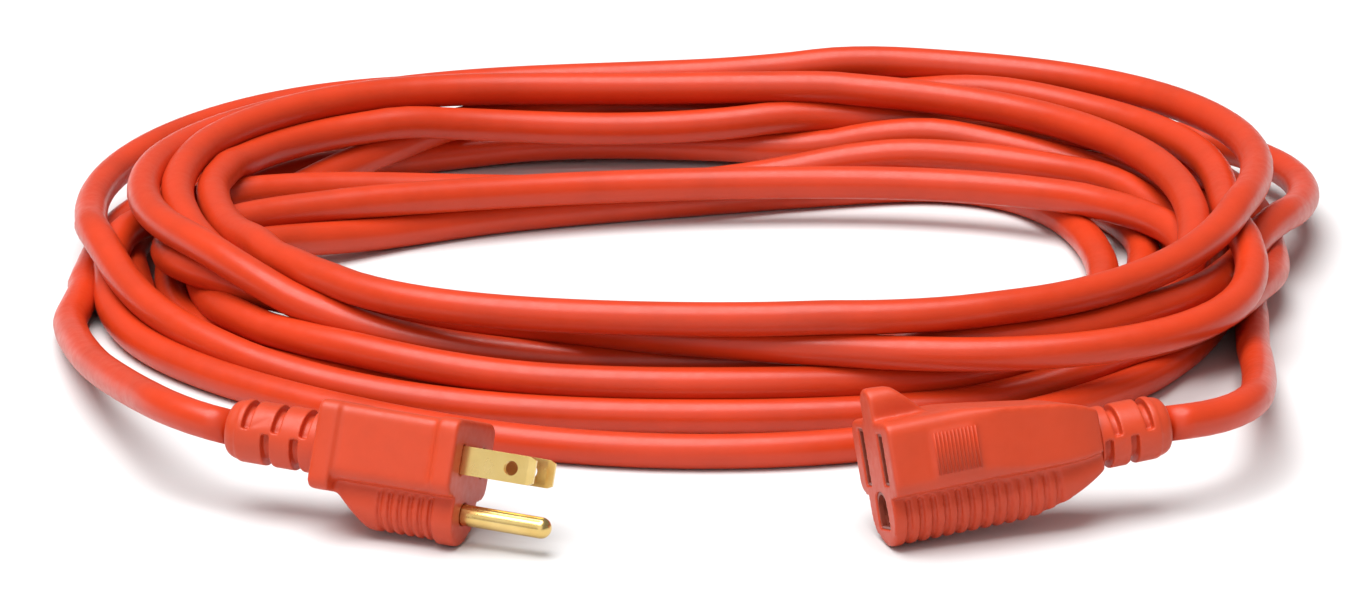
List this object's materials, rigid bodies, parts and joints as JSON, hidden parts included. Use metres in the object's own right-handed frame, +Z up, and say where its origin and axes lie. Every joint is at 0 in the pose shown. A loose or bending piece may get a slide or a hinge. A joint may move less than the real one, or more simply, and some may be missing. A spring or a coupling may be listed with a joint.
{
  "type": "extension cord",
  "caption": "Orange grounded extension cord lying in a flat oval coil, with a moulded three-prong plug and a moulded connector, both with slotted flexible strain reliefs.",
  "frame": {"origin": "on the floor under the middle of the whole object's box", "axes": "+X along the oval coil, towards the connector's side; +Y from the two ends at the front to the back of the coil; +Z up"},
  "size_m": [0.307, 0.3025, 0.0351],
  "materials": {
    "cord_jacket": "satin PVC jacket, faint lengthwise draw lines",
    "moulded_body": "satin moulded PVC, soft highlights",
    "brass": "bright stamped brass with fine drawing lines",
    "copper": "bare stranded copper",
    "wire_black": "PVC insulation",
    "wire_white": "PVC insulation",
    "wire_green": "PVC insulation",
    "carrier_plastic": "natural moulded thermoplastic"
  },
  "bodies": {
    "cord": {"cord_coil": "cord_jacket", "cord_lead_plug": "cord_jacket", "cord_lead_connector": "cord_jacket"},
    "plug": {"plug_body": "moulded_body", "plug_strain_relief": "moulded_body", "plug_cord_end": "cord_jacket", "plug_blade_carrier": "carrier_plastic", "plug_line_blade": "brass", "plug_neutral_blade": "brass", "plug_ground_pin": "brass", "plug_line_wire": "wire_black", "plug_neutral_wire": "wire_white", "plug_ground_wire": "wire_green", "plug_line_copper": "copper", "plug_neutral_copper": "copper", "plug_ground_copper": "copper"},
    "connector": {"connector_body": "moulded_body", "connector_strain_relief": "moulded_body", "connector_cord_end": "cord_jacket", "connector_carrier": "carrier_plastic", "connector_line_contact": "brass", "connector_neutral_contact": "brass", "connector_ground_contact": "brass", "connector_line_wire": "wire_black", "connector_neutral_wire": "wire_white", "connector_ground_wire": "wire_green", "connector_line_copper": "copper", "connector_neutral_copper": "copper", "connector_ground_copper": "copper"}
  },
  "joints": [
    {"name": "plug_flex", "type": "hinge", "parent": "cord", "child": "plug", "pos_m": [-0.09028, -0.12098, 0.0186], "axis": [0, 0, 1], "range_deg": [-30, 20], "stiffness_Nm_per_rad": 0.08, "deforming": ["plug_strain_relief", "plug_cord_end"]},
    {"name": "connector_flex", "type": "hinge", "parent": "cord", "child": "connector", "pos_m": [0.09796, -0.11984, 0.01919], "axis": [0, 0, 1], "range_deg": [-20, 30], "stiffness_Nm_per_rad": 0.08, "deforming": ["connector_strain_relief", "connector_cord_end"]}
  ]
}
